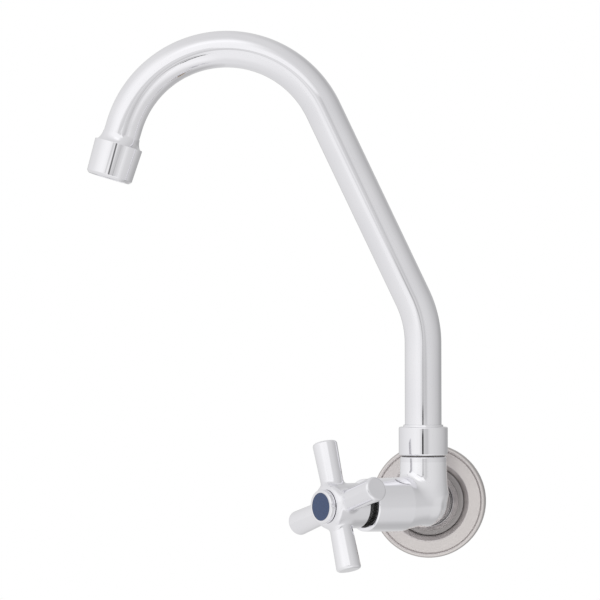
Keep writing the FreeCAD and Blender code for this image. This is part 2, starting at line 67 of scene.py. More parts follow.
# The tube's centreline: a riser, a lean and a crook that turns back down
TUBE_RADIUS = 9.525
TUBE_BORE = 8.525
RISER_HEIGHT = 95.8
LEAN = math.radians(25.35)
LEAN_LENGTH = 120.7
BEND_RADIUS = 56.0
CROOK_RADIUS = 55.6
CROOK_TURN = math.radians(138.0)
OUTLET_STRAIGHT = 10.4
TUBE_FOOT = 36.0
FERRULE_SEAT = 3.0


def heading(angle):
    """Direction in the spout's plane, tilted from straight up towards the outlet."""
    return UP * math.cos(angle) + SPOUT_WAY * math.sin(angle)


lean_start = RISER_HEIGHT - BEND_RADIUS * math.tan(LEAN / 2)
lean_run = LEAN_LENGTH - BEND_RADIUS * math.tan(LEAN / 2)
lean_top = ELBOW + UP * RISER_HEIGHT + heading(LEAN) * LEAN_LENGTH
crook_centre = lean_top + heading(LEAN + math.pi / 2) * CROOK_RADIUS
outlet_heading = LEAN + CROOK_TURN
crook_end = crook_centre - heading(outlet_heading + math.pi / 2) * CROOK_RADIUS
outlet_way = heading(outlet_heading)
shell_top = crook_end + outlet_way * OUTLET_STRAIGHT
OUTLET = axes(shell_top, outlet_way, UP.cross(SPOUT_WAY))


# ---------------------------------------------------------------- shader helper

class Wire:
    """A shader value that takes part in Python arithmetic and adds its Math nodes."""

    def __init__(self, shader, socket):
        self.shader = shader
        self.socket = socket

    def maths(self, operation, *others):
        return self.shader.add("ShaderNodeMath", {"operation": operation}, self, *others)

    def __add__(self, other):
        return self.maths("ADD", other)

    def __radd__(self, other):
        return self.maths("ADD", other)

    def __sub__(self, other):
        return self.maths("SUBTRACT", other)

    def __rsub__(self, other):
        return self * -1 + other

    def __mul__(self, other):
        return self.maths("MULTIPLY", other)

    def __rmul__(self, other):
        return self.maths("MULTIPLY", other)

    def __truediv__(self, other):
        return self.maths("DIVIDE", other)

    def __abs__(self):
        return self.maths("ABSOLUTE")

    def smooth(self, low, high):
        """0 below low, 1 above high and a soft step between."""
        settings = {"interpolation_type": "SMOOTHSTEP"}
        return self.shader.add("ShaderNodeMapRange", settings, self, low, high, 0.0, 1.0)


class Shader:
    """Builds one node tree."""

    def __init__(self, tree):
        self.tree = tree
        tree.nodes.clear()

    def add(self, kind, settings=None, *values, out=0, **named):
        """A node with its settings first, then its sockets by order or by name."""
        node = self.tree.nodes.new(kind)
        for name, value in (settings or {}).items():
            if name == "stops":
                self.fill_ramp(node.color_ramp, value)
            else:
                setattr(node, name, value)
        for index, value in enumerate(values):
            self.feed(node.inputs[index], value)
        for name, value in named.items():
            self.feed(node.inputs[name.replace("_", " ")], value)
        return Wire(self, node.outputs[out] if node.outputs else None)

    def feed(self, socket, value):
        if isinstance(value, Wire):
            self.tree.links.new(value.socket, socket)
        elif value is not None:
            socket.default_value = value

    def fill_ramp(self, ramp, stops):
        while len(ramp.elements) > 1:
            ramp.elements.remove(ramp.elements[-1])
        ramp.elements[0].position = stops[0][0]
        ramp.elements[0].color = stops[0][1]
        for position, colour in stops[1:]:
            ramp.elements.new(position).color = colour

    def place(self, matrix=None):
        """Object coordinates, or those of a frame of the faucet, in metres."""
        coordinates = self.add("ShaderNodeTexCoord", out=3)
        if matrix is None:
            return coordinates
        inverse = matrix.inverted()
        turn = tuple(inverse.to_euler("XYZ"))
        shift = tuple(inverse.translation * MM)
        return self.add("ShaderNodeMapping", None, coordinates, shift, turn)

    def split(self, vector):
        node = self.tree.nodes.new("ShaderNodeSeparateXYZ")
        self.feed(node.inputs[0], vector)
        return [Wire(self, socket) for socket in node.outputs]

    def join(self, x, y, z):
        return self.add("ShaderNodeCombineXYZ", None, x, y, z)

    def noise(self, vector, scale, detail=3.0, roughness=0.5):
        return self.add("ShaderNodeTexNoise", None, Vector=vector, Scale=scale, Detail=detail,
                        Roughness=roughness)

    def mix_colour(self, factor, first, second):
        node = self.tree.nodes.new("ShaderNodeMix")
        node.data_type = "RGBA"
        self.feed(node.inputs[0], factor)
        self.feed(node.inputs[6], first)
        self.feed(node.inputs[7], second)
        return Wire(self, node.outputs[2])

    def bump(self, height, strength, distance):
        return self.add("ShaderNodeBump", None, Strength=strength, Distance=distance,
                        Height=height)

    def surface(self, **sockets):
        """Principled surface wired to the output."""
        node = self.tree.nodes.new("ShaderNodeBsdfPrincipled")
        for name, value in sockets.items():
            self.feed(node.inputs[name.replace("_", " ")], value)
        self.finish(Wire(self, node.outputs[0]))

    def finish(self, shader):
        self.add("ShaderNodeOutputMaterial", None, Surface=shader)


def material(name):
    made = bpy.data.materials.new(name)
    made.use_nodes = True
    return made, Shader(made.node_tree)


def grey(value):
    return (value, value, value, 1.0)


# ---------------------------------------------------------------- materials

CHROME_LIGHT = (0.90, 0.895, 0.92, 1.0)
CHROME_DARK = (0.86, 0.855, 0.885, 1.0)
# Painted light: BRIGHT_LIGHT and BRIGHT_DARK are a lighter copy of the chrome colours. They make
# the cast body and the barrel mouth render brighter than the other chrome.
BRIGHT_LIGHT = (0.965, 0.96, 0.985, 1.0)
BRIGHT_DARK = (0.925, 0.92, 0.95, 1.0)


def chrome(name, ripple, finish, light=CHROME_LIGHT, dark=CHROME_DARK):
    """Plated brass: bright, faintly cool, with wipe marks and the ripple of its polishing."""
    made, s = material(name)
    spot = s.place()
    wipe = s.noise(spot, 90.0, 4.0, 0.6)
    cloud = s.noise(spot, 22.0, 2.0, 0.5)
    speck = s.noise(spot, 900.0, 1.0, 0.5)
    colour = s.mix_colour(cloud.smooth(0.3, 0.7), dark, light)
    haze = wipe.smooth(0.35, 0.75) * 0.025 + speck * 0.008
    wave = s.noise(spot, 130.0, 1.0, 0.3)
    s.surface(Base_Color=colour, Metallic=1.0, Roughness=haze + finish,
              Normal=s.bump(wave, 1.0, ripple))
    return made


def brushed_flange(name):
    """Pressed stainless sheet, spun with a fine grain round its middle."""
    made, s = material(name)
    x, y, z = s.split(s.place(WALL))
    radius = s.add("ShaderNodeMath", {"operation": "SQRT"}, x * x + y * y)
    turn = s.add("ShaderNodeMath", {"operation": "ARCTAN2"}, y, x)
    around = s.join(radius * 9000.0, turn * 3.0, z * 9000.0)
    grain = s.noise(around, 1.0, 3.0, 0.7)
    wide = s.noise(s.join(radius * 1500.0, turn * 1.3, 0.0), 1.0, 2.0, 0.5)
    stain = s.noise(s.place(), 60.0, 3.0, 0.6)
    colour = s.mix_colour(grain * 0.5 + wide * 0.3 + stain * 0.2,
                          (0.66, 0.62, 0.605, 1.0), (0.92, 0.875, 0.855, 1.0))
    # Painted shade: the base colour turns dark grey in a ring round the well and shoulder and on
    # the outer bead. It stands in for the shade and dark reflections there.
    painted_well_shade = 1 - abs(radius - 0.0173).smooth(0.0010, 0.0026)
    painted_bead_shade = radius.smooth(0.0288, 0.0297)
    colour = s.mix_colour(painted_well_shade * 0.65 + painted_bead_shade * 0.45, colour, (0.20, 0.19, 0.19, 1.0))
    s.surface(Base_Color=colour, Metallic=1.0, Roughness=grain * 0.16 + wide * 0.1 + 0.2,
              Normal=s.bump(grain + wide, 0.6, 0.00002))
    return made


def machined(name, light, dark, roughness):
    """Turned metal with tool marks and a little tarnish."""
    made, s = material(name)
    spot = s.place()
    tarnish = s.noise(spot, 120.0, 4.0, 0.6)
    marks = s.noise(spot, 1800.0, 2.0, 0.6)
    colour = s.mix_colour(tarnish.smooth(0.35, 0.7), light, dark)
    s.surface(Base_Color=colour, Metallic=1.0, Roughness=marks * 0.15 + roughness,
              Normal=s.bump(marks, 0.4, 0.00002))
    return made


def moulded(name, light, dark, roughness, grain=900.0, coat=0.0):
    """Moulded polymer, fibre or rubber, with a fine skin."""
    made, s = material(name)
    spot = s.place()
    cloud = s.noise(spot, 70.0, 3.0, 0.6)
    skin = s.noise(spot, grain, 3.0, 0.6)
    colour = s.mix_colour(cloud * 0.6 + skin * 0.4, dark, light)
    s.surface(Base_Color=colour, Roughness=skin * 0.14 + roughness, Coat_Weight=coat,
              Normal=s.bump(skin, 0.35, 0.00003))
    return made


def woven(name):
    """Fine woven wire."""
    made, s = material(name)
    x, y, z = s.split(s.place(OUTLET))
    first = s.add("ShaderNodeMath", {"operation": "SINE"}, x * 9000.0)
    second = s.add("ShaderNodeMath", {"operation": "SINE"}, y * 9000.0)
    weave = first * second
    colour = s.mix_colour(weave.smooth(-0.6, 0.6), grey(0.18), grey(0.62))
    s.surface(Base_Color=colour, Metallic=1.0, Roughness=weave * 0.1 + 0.4,
              Normal=s.bump(weave, 0.8, 0.0001))
    return made


CHROME_CAST = chrome("cast_chrome", 0.000012, 0.035)
# The cast body's chrome uses the lighter copy of the chrome colours: painted light.
CHROME_BODY = chrome("body_chrome", 0.000012, 0.035, BRIGHT_LIGHT, BRIGHT_DARK)
CHROME_TURNED = chrome("turned_chrome", 0.000003, 0.02)
CHROME_TUBE = chrome("tube_chrome", 0.000006, 0.04)
# Painted shade: a darker, rougher copy of the chrome, used on the wall collar. It stands in for
# the shade near the wall.
CHROME_SHADED = machined("painted_shade_chrome", (0.60, 0.59, 0.60, 1), (0.42, 0.41, 0.42, 1), 0.12)
# Painted shade: the spigot thread gets a dark grey metal colour, so the seam between the nut and
# the socket reads as shaded.
SEAM_SHADE = machined("thread_seam_shade", (0.30, 0.29, 0.29, 1), (0.18, 0.175, 0.175, 1), 0.3)
FLANGE_STEEL = brushed_flange("spun_steel")
BRASS = machined("machined_brass", (0.80, 0.62, 0.32, 1), (0.58, 0.42, 0.20, 1), 0.22)
SCREW_STEEL = machined("screw_steel", grey(0.62), grey(0.45), 0.25)
SCREEN_WIRE = woven("screen_wire")
BLACK = moulded("black_polymer", grey(0.035), grey(0.018), 0.3)
RUBBER = moulded("rubber", grey(0.03), grey(0.016), 0.6)
FIBRE = moulded("fibre", (0.42, 0.12, 0.07, 1), (0.25, 0.06, 0.04, 1), 0.7)
PACKING = moulded("packing", (0.82, 0.80, 0.74, 1), (0.68, 0.66, 0.60, 1), 0.55)
NYLON = moulded("nylon", (0.84, 0.83, 0.78, 1), (0.72, 0.71, 0.66, 1), 0.32)
INDEX_BLUE = moulded("index_blue", (0.036, 0.074, 0.185, 1), (0.024, 0.050, 0.135, 1), 0.3,
                     2500.0, 0.25)


# ---------------------------------------------------------------- shapes

SPIN_STEPS = 144
SHARP = math.radians(50)


def piece(name, bm, body, slot, finish, *nodes):
    """A finished mesh as an object that rides on a body and stands for its CAD nodes."""
    mesh = bpy.data.meshes.new(name)
    bm.to_mesh(mesh)
    bm.free()
    for polygon in mesh.polygons:
        polygon.use_smooth = True
    made = bpy.data.objects.new(name, mesh)
    bpy.context.scene.collection.objects.link(made)
    mesh.materials.append(finish)
    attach(made, body)
    if nodes:
        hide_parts(*nodes)
    return made


def arc(start, middle, end, steps):
    """Points on the circle through three points, without the first."""
    (ax, ay), (bx, by), (cx, cy) = start, middle, end
    d = 2 * (ax * (by - cy) + bx * (cy - ay) + cx * (ay - by))
    a, b, c = ax * ax + ay * ay, bx * bx + by * by, cx * cx + cy * cy
    ox = (a * (by - cy) + b * (cy - ay) + c * (ay - by)) / d
    oy = (a * (cx - bx) + b * (ax - cx) + c * (bx - ax)) / d
    radius = math.hypot(ax - ox, ay - oy)
    first = math.atan2(ay - oy, ax - ox)
    last = math.atan2(cy - oy, cx - ox)
    half = math.atan2(by - oy, bx - ox)
    full = (last - first) % math.tau
    if (half - first) % math.tau > full:
        full -= math.tau
    return [(ox + radius * math.cos(first + full * i / steps),
             oy + radius * math.sin(first + full * i / steps)) for i in range(1, steps + 1)]


def flare(wide, narrow):
    """Hollow arc from a wide corner to a narrow one, where it runs along the axis."""
    run = wide[0] - narrow[0]
    rise = narrow[1] - wide[1]
    radius = (rise * rise + run * run) / (2 * run)
    half = math.asin(rise / radius) / 2
    middle = (narrow[0] + radius * (1 - math.cos(half)), narrow[1] - radius * math.sin(half))
    return arc(wide, middle, narrow, 14)


def spun(outline, place, rounds=()):
    """A closed outline of (radius, height) turned about Z, with some of its corners rounded."""
    bm = bmesh.new()
    verts = [bm.verts.new((radius, 0, height)) for radius, height in outline]
    pairs = list(zip(verts, verts[1:] + verts[:1]))
    edges = [bm.edges.new(pair) for pair in pairs if max(pair[0].co.x, pair[1].co.x) > 1e-6]
    bmesh.ops.spin(bm, geom=verts + edges, cent=(0, 0, 0), axis=(0, 0, 1), dvec=(0, 0, 0),
                   angle=math.tau, steps=SPIN_STEPS, use_merge=True)
    bmesh.ops.remove_doubles(bm, verts=bm.verts, dist=1e-4)
    bmesh.ops.recalc_face_normals(bm, faces=bm.faces)
    for corner, radius, segments in rounds:
        ring = [edge for edge in bm.edges if all(on_ring(v, corner) for v in edge.verts)]
        bmesh.ops.bevel(bm, geom=ring, offset=radius, offset_type="OFFSET", segments=segments,
                        profile=0.5, affect="EDGES", material=-1, clamp_overlap=True)
    settle(bm, place)
    for edge in bm.edges:
        edge.smooth = edge.calc_face_angle(0) < SHARP
    return bm


def on_ring(vertex, corner):
    radius = math.hypot(vertex.co.x, vertex.co.y)
    return abs(radius - corner[0]) < 1e-3 and abs(vertex.co.z - corner[1]) < 1e-3


def settle(bm, place):
    """Puts a shape made in a local frame in its place, in metres."""
    bmesh.ops.transform(bm, matrix=Matrix.Scale(MM, 4) @ place, verts=bm.verts)
    bmesh.ops.recalc_face_normals(bm, faces=bm.faces)


def weigh(made):
    """Lets a wide face keep its own shading next to a narrow rounding."""
    modifier = made.modifiers.new("shading", "WEIGHTED_NORMAL")
    modifier.keep_sharp = True
    modifier.weight = 60


# Castings whose parts flow into each other: a coarse union is drawn onto a blended surface
DRAW_ROUNDS = 6
NUDGE = 0.02
FLAT_CUT = 5.0


def turned_distance(points, place, outline, rounding):
    """Signed distance to a solid turned from an outline of (radius, height)."""
    inverse = np.array(place.inverted())
    local = points @ inverse[:3, :3].T + inverse[:3, 3]
    flat = np.stack([np.hypot(local[:, 0], local[:, 1]), local[:, 2]], axis=1)
    nearest = np.full(len(flat), np.inf)
    inside = np.zeros(len(flat), bool)
    for start, end in zip(outline, outline[1:] + outline[:1]):
        a, b = np.array(start), np.array(end)
        edge = b - a
        reach = flat - a
        share = np.clip(reach @ edge / (edge @ edge), 0, 1)
        if a[0] > 0 or b[0] > 0:
            nearest = np.minimum(nearest, np.linalg.norm(reach - share[:, None] * edge, axis=1))
        crosses = (a[1] > flat[:, 1]) != (b[1] > flat[:, 1])
        if edge[1]:
            at = a[0] + (flat[:, 1] - a[1]) * edge[0] / edge[1]
            inside ^= crosses & (flat[:, 0] < at)
    return np.where(inside, -nearest, nearest) - rounding


def blended(first, second, width):
    """Union of two distances, with a fillet about as wide as the width."""
    share = np.clip(0.5 + 0.5 * (second - first) / width, 0, 1)
    return second * (1 - share) + first * share - width * share * (1 - share)


def slopes(distance, points):
    """Direction in which a distance grows fastest, as unit vectors, and its size."""
    columns = []
    for axis in range(3):
        nudge = np.zeros(3)
        nudge[axis] = NUDGE
        columns.append((distance(points + nudge) - distance(points - nudge)) / (2 * NUDGE))
    slope = np.stack(columns, axis=1)
    size = np.linalg.norm(slope, axis=1)
    return slope / size[:, None], size


def sink(bm, rim, point, normal, radius, depth):
    """Draws a cut's rim in to a round bore and down it; returns the edge of its bottom."""
    for drop in (0, depth):
        made = bmesh.ops.extrude_edge_only(bm, edges=rim)["geom"]
        rim = [edge for edge in made if isinstance(edge, bmesh.types.BMEdge)]
        for vert in {vert for edge in rim for vert in edge.verts}:
            spoke = vert.co - point
            spoke -= normal * spoke.dot(normal)
            vert.co = point + spoke.normalized() * radius - normal * drop
    return rim


def cast(name, rough, distance, voxel, cuts, body, slot, finish, *nodes):
    """A casting: rough solids are fused by a voxel remesh and drawn onto the surface."""
    mesh = bpy.data.meshes.new(name + "_rough")
    rough.to_mesh(mesh)
    rough.free()
    source = bpy.data.objects.new(name + "_rough", mesh)
    bpy.context.scene.collection.objects.link(source)
    remesh = source.modifiers.new("fuse", "REMESH")
    remesh.mode = "VOXEL"
    remesh.voxel_size = voxel
    remesh.use_smooth_shade = True
    fused = bpy.data.meshes.new_from_object(
        source.evaluated_get(bpy.context.evaluated_depsgraph_get()))
    bpy.data.objects.remove(source)
    points = np.zeros(len(fused.vertices) * 3)
    fused.vertices.foreach_get("co", points)
    points = points.reshape(-1, 3)
    for _ in range(DRAW_ROUNDS):
        way, size = slopes(distance, points)
        points = points - way * np.clip(distance(points) / size, -1, 1)[:, None]
    fused.vertices.foreach_set("co", points.ravel())
    bm = bmesh.new()
    bm.from_mesh(fused)
    for point, normal, *bore in cuts:
        whole = list(bm.verts) + list(bm.edges) + list(bm.faces)
        cut = bmesh.ops.bisect_plane(bm, geom=whole, plane_co=point, plane_no=normal,
                                     clear_outer=True, dist=1e-5)
        rim = [e for e in cut["geom_cut"] if isinstance(e, bmesh.types.BMEdge)]
        if bore:
            rim = sink(bm, rim, point, normal, *bore)
        bmesh.ops.contextual_create(bm, geom=rim)
    bmesh.ops.recalc_face_normals(bm, faces=bm.faces)
    made = piece(name, bm, body, slot, finish, *nodes)
    points = np.zeros(len(made.data.vertices) * 3)
    made.data.vertices.foreach_get("co", points)
    points = points.reshape(-1, 3)
    way, _ = slopes(distance, points)
    for polygon in made.data.polygons:
        polygon.use_smooth = polygon.area < FLAT_CUT
    made.data.transform(Matrix.Scale(MM, 4))
    made.data.normals_split_custom_set_from_vertices(way.tolist())
    return made


def stub(bm, radius, low, high, place, top=None):
    """A rough round bar for a casting's union."""
    both = Matrix.Translation((0, 0, (low + high) / 2))
    bmesh.ops.create_cone(bm, cap_ends=True, segments=64, radius1=radius,
                          radius2=radius if top is None else top, depth=high - low,
                          matrix=place @ both)


# ---------------------------------------------------------------- body

BODY_RADIUS = 12.3
BALL_RADIUS = 11.9
BALL_LIFT = 0.4
SOCKET_HEIGHT = 24.4
SOCKET_RADIUS = 12.0
SOCKET_DRAFT = math.radians(2.0)
SOCKET_BORE = 10.4
BARREL_LENGTH = 40.5
BARREL_START = 12.7
BARREL_ROOT = 14.1
BARREL_ROOT_PLACE = 17.0
BARREL_BORE = 11.35
VALVE_BORE = 10.7
VALVE_BORE_END = 14.0
BARREL_MOUTH = 13.5
SOCKET_CUT = 21.6
BARREL_CUT = 33.0
ARM_CUT = 17.0
COLLAR_RADIUS = 15.7
COLLAR_HEIGHT = 6.0
FLARE_TOP = 14.6
FLANGE_SHEET = 0.8
SPIGOT_RADIUS = 11.61
SPIGOT_TOP = 34.0
SPIGOT_TURNS = 10
COLLAR_BORE = 10.52


def barrel_radius(distance):
    """Outside of the drafted barrel at a distance from the elbow."""
    share = (distance - BARREL_ROOT_PLACE) / (BARREL_LENGTH - BARREL_ROOT_PLACE)
    return BARREL_ROOT + (BARREL_MOUTH - BARREL_ROOT) * share


def socket_radius(height):
    """Outside of the drafted riser socket at a height above the elbow."""
    return SOCKET_RADIUS + (SOCKET_HEIGHT - height) * math.tan(SOCKET_DRAFT)


def body_distance(points):
    """The cast body without its three turned ends: limbs that flow out of a ball."""
    r = 3.0
    core = BODY_RADIUS - r
    arm = turned_distance(points, WALL, [(0, 4), (core, 4), (core, ARM_CUT), (core - 0.9, 28),
                                         (core - 0.9, 38), (0, 38)], r)
    socket = turned_distance(points, RISER, [(0, 6), (socket_radius(6) - r, 6),
                                             (socket_radius(40) - r, 40), (0, 40)], r)
    ball = np.linalg.norm(points - np.array(ELBOW + UP * BALL_LIFT), axis=1) - BALL_RADIUS
    drum = [(0, 0), (BARREL_START - r, 0), (BARREL_ROOT - r, BARREL_ROOT_PLACE),
            (barrel_radius(50) - r, 50), (0, 50)]
    along = points @ np.array(BARREL_WAY) - ELBOW.dot(BARREL_WAY)
    flat = 1.09 - 0.09 * np.clip((along - 3) / 13, 0, 1) ** 2
    whole = np.ones(len(points))
    barrel = turned_distance(points * np.stack([whole, whole, flat], axis=1), BARREL, drum, r)
    elbow = blended(blended(ball, barrel, 2.5), arm, 2.5)
    return blended(elbow, socket, 5.0)


def build_body():
    rough = bmesh.new()
    stub(rough, BODY_RADIUS, 4, 38, WALL)
    stub(rough, SOCKET_RADIUS, 0, 30, RISER)
    stub(rough, BARREL_ROOT, 12, 44, BARREL, BARREL_MOUTH)
    stub(rough, BODY_RADIUS, 0, 20, BARREL)
    bmesh.ops.create_uvsphere(rough, u_segments=48, v_segments=32, radius=BALL_RADIUS,
                              matrix=Matrix.Translation(ELBOW))
    wall_way = Vector((0, 1, 0))
    cuts = [(ELBOW + UP * SOCKET_CUT, UP),
            (ELBOW + BARREL_WAY * BARREL_CUT, BARREL_WAY, VALVE_BORE,
             BARREL_CUT - VALVE_BORE_END),
            (Vector((0, -ARM_CUT, 0)), wall_way)]
    cast("body_casting", rough, body_distance, 0.42, cuts, "body", "chrome", CHROME_BODY,
         "valve_body")

    top = spun([(socket_radius(SOCKET_CUT), SOCKET_CUT), (SOCKET_RADIUS, SOCKET_HEIGHT),
                (SOCKET_BORE, SOCKET_HEIGHT), (SOCKET_BORE, SOCKET_CUT)],
               RISER, [((SOCKET_RADIUS, SOCKET_HEIGHT), 0.8, 4)])
    weigh(piece("socket_rim", top, "body", "chrome", CHROME_TURNED, "valve_body"))

    thread = [(SOCKET_BORE, SOCKET_HEIGHT - 1), (SPIGOT_RADIUS - 0.5, SOCKET_HEIGHT - 1)]
    for turn in range(SPIGOT_TURNS):
        low = SOCKET_HEIGHT - 0.6 + turn
        thread += [(SPIGOT_RADIUS - 0.5, low), (SPIGOT_RADIUS, low + 0.35),
                   (SPIGOT_RADIUS - 0.5, low + 0.7)]
    thread += [(SPIGOT_RADIUS - 0.5, SPIGOT_TOP), (SOCKET_BORE, SPIGOT_TOP)]
    # The thread's dark colour is painted shade in the seam under the nut.
    weigh(piece("socket_thread", spun(thread, RISER), "body", "chrome", SEAM_SHADE, "valve_body"))

    mouth = spun([(barrel_radius(BARREL_CUT), BARREL_CUT), (BARREL_MOUTH, BARREL_LENGTH),
                  (BARREL_BORE, BARREL_LENGTH), (BARREL_BORE, 39.8), (12.5, 39.8),
                  (12.5, 36.6), (VALVE_BORE, 36.6), (VALVE_BORE, BARREL_CUT)],
                 BARREL, [((BARREL_MOUTH, BARREL_LENGTH), 0.9, 5),
                          ((BARREL_BORE, BARREL_LENGTH), 0.25, 3)])
    weigh(piece("barrel_mouth", mouth, "body", "chrome", CHROME_BODY, "valve_body"))

    rim = (COLLAR_RADIUS - 0.1, COLLAR_HEIGHT)
    sweep = flare(rim, (BODY_RADIUS, FLARE_TOP))
    for place in (9, 5):
        (outer, low), (inner, high) = sweep[place], sweep[place + 1]
        middle = ((outer + inner) / 2 - 0.45, (low + high) / 2 - 0.3)
        sweep.insert(place + 1, middle)
    collar = spun([(BODY_RADIUS, ARM_CUT)] + sweep[::-1]
                  + [rim, (COLLAR_RADIUS, COLLAR_HEIGHT - 0.1), (COLLAR_RADIUS, FLANGE_SHEET),
                     (COLLAR_BORE, FLANGE_SHEET), (COLLAR_BORE, ARM_CUT)], WALL)
    # The collar takes the darker chrome copy: painted shade near the wall.
    weigh(piece("wall_collar", collar, "body", "chrome", CHROME_SHADED, "valve_body"))


build_body()


# ---------------------------------------------------------------- wall flange and nipple

FLANGE_RADIUS = 30.0
FACE_HEIGHT = 5.4
WELL_RADIUS = 18.35
WELL_RIM = 3.2
SHOULDER_RADIUS = 21.05
BEAD = 1.3


def build_flange():
    bead_inner = FLANGE_RADIUS - 2 * BEAD
    crest = (FLANGE_RADIUS - BEAD, FACE_HEIGHT + BEAD)
    front = [(10.83, FLANGE_SHEET), (WELL_RADIUS, FLANGE_SHEET), (WELL_RADIUS, WELL_RIM),
             (SHOULDER_RADIUS, FACE_HEIGHT), (bead_inner, FACE_HEIGHT)]
    front += arc((bead_inner, FACE_HEIGHT), crest, (FLANGE_RADIUS, FACE_HEIGHT), 14)
    front += [(FLANGE_RADIUS, 0)]
    t = FLANGE_SHEET
    inner_bead = BEAD - t
    back = [(FLANGE_RADIUS - t, 0), (FLANGE_RADIUS - t, FACE_HEIGHT)]
    back += arc((FLANGE_RADIUS - t, FACE_HEIGHT), (FLANGE_RADIUS - BEAD, FACE_HEIGHT + inner_bead),
                (bead_inner + t, FACE_HEIGHT), 6)
    back += [(bead_inner + t, FACE_HEIGHT - t), (SHOULDER_RADIUS + 0.33, FACE_HEIGHT - t),
             (WELL_RADIUS + t, WELL_RIM - 0.47), (WELL_RADIUS + t, 0), (10.83, 0)]
    rounds = [((WELL_RADIUS, WELL_RIM), 0.35, 3), ((SHOULDER_RADIUS, FACE_HEIGHT), 0.5, 3),
              ((WELL_RADIUS, FLANGE_SHEET), 0.4, 3), ((bead_inner, FACE_HEIGHT), 0.2, 2)]
    flange = spun(front + back, WALL, rounds)
    weigh(piece("flange_disc", flange, "body", "flange_steel", FLANGE_STEEL, "wall_flange"))


build_flange()

THREAD_PITCH = 1.814
THREAD_DEPTH = 1.16
NIPPLE_RADIUS = 10.48
NIPPLE_BORE = 7.0
NIPPLE_REAR = -30.0
RELIEF_REAR = -1.2
NIPPLE_TOP = 14.8


def build_nipple():
    root = NIPPLE_RADIUS - THREAD_DEPTH
    core = spun([(NIPPLE_BORE, NIPPLE_REAR), (root - 0.1, NIPPLE_REAR), (root, NIPPLE_REAR + 0.1),
                 (root, RELIEF_REAR), (9.58, RELIEF_REAR), (9.58, FLANGE_SHEET),
                 (NIPPLE_RADIUS, FLANGE_SHEET), (NIPPLE_RADIUS, 13.6), (9.28, NIPPLE_TOP),
                 (NIPPLE_BORE, NIPPLE_TOP)], WALL, [((NIPPLE_BORE, NIPPLE_REAR), 0.4, 3)])
    weigh(piece("nipple_core", core, "body", "brass", BRASS, "inlet_nipple"))

    ridge = bmesh.new()
    start = NIPPLE_REAR + 0.9
    half = THREAD_PITCH * 0.46
    crest = THREAD_PITCH * 0.08
    tooth = [(root - 0.05, start - half), (NIPPLE_RADIUS, start - crest),
             (NIPPLE_RADIUS, start + crest), (root - 0.05, start + half)]
    verts = [ridge.verts.new((radius, 0, height)) for radius, height in tooth]
    face = ridge.faces.new(verts)
    turns = (RELIEF_REAR - 0.9 - start) / THREAD_PITCH
    steps = round(turns * 64)
    bmesh.ops.spin(ridge, geom=list(face.verts) + list(face.edges) + [face], cent=(0, 0, 0),
                   axis=(0, 0, 1), dvec=(0, 0, THREAD_PITCH * turns / steps),
                   angle=math.tau * turns, steps=steps)
    settle(ridge, WALL)
    piece("nipple_thread", ridge, "body", "brass", BRASS, "inlet_nipple")


build_nipple()


# ---------------------------------------------------------------- nut and spout

def build_nut():
    nut = spun([(11.65, 25.0), (12.75, 25.0), (12.75, 39.8), (10.375, 39.8), (10.375, 40.9),
                (9.875, 40.9), (9.875, 37.1), (11.65, 37.1)],
               RISER, [((12.75, 25.0), 0.8, 5), ((12.75, 39.8), 0.8, 5),
                       ((10.375, 40.9), 0.25, 3), ((10.375, 39.8), 0.2, 2)])
    weigh(piece("riser_nut", nut, "body", "chrome", CHROME_TURNED, "spout_nut"))


def sweep_tube(radius):
    """Tube skin: the ring at the foot is drawn up, turned, drawn up, turned and drawn down."""
    bm = bmesh.new()
    ring = bmesh.ops.create_circle(bm, segments=112, radius=radius,
                                   matrix=Matrix.Translation(ELBOW + UP * TUBE_FOOT))
    edges = list({edge for vert in ring["verts"] for edge in vert.link_edges})
    normal = UP.cross(SPOUT_WAY)

    def draw(edges, shift):
        made = bmesh.ops.extrude_edge_only(bm, edges=edges)["geom"]
        verts = [v for v in made if isinstance(v, bmesh.types.BMVert)]
        bmesh.ops.translate(bm, vec=shift, verts=verts)
        return [e for e in made if isinstance(e, bmesh.types.BMEdge)]

    def turn(edges, centre, angle, steps):
        verts = list({vert for edge in edges for vert in edge.verts})
        made = bmesh.ops.spin(bm, geom=verts + edges, cent=centre, axis=normal,
                              dvec=(0, 0, 0), angle=angle, steps=steps)["geom_last"]
        return [e for e in made if isinstance(e, bmesh.types.BMEdge)]

    edges = draw(edges, UP * (lean_start - TUBE_FOOT))
    centre = ELBOW + UP * lean_start + SPOUT_WAY * BEND_RADIUS
    edges = turn(edges, centre, LEAN, 26)
    edges = draw(edges, heading(LEAN) * lean_run)
    edges = turn(edges, crook_centre, CROOK_TURN, 104)
    draw(edges, outlet_way * (OUTLET_STRAIGHT + FERRULE_SEAT))
    return bm


def build_tube():
    bm = sweep_tube(TUBE_RADIUS)
    bore = sweep_tube(TUBE_BORE)
    inner = bpy.data.meshes.new("bore")
    bore.to_mesh(inner)
    bore.free()
    bm.from_mesh(inner)
    open_edges = [edge for edge in bm.edges if edge.is_boundary]
    low = [e for e in open_edges if all(v.co.z < TUBE_FOOT + 0.01 for v in e.verts)]
    high = [e for e in open_edges if e not in set(low)]
    bmesh.ops.bridge_loops(bm, edges=low)
    bmesh.ops.bridge_loops(bm, edges=high)
    settle(bm, Matrix.Identity(4))
    weigh(piece("gooseneck", bm, "spout", "chrome", CHROME_TUBE, "spout_tube"))


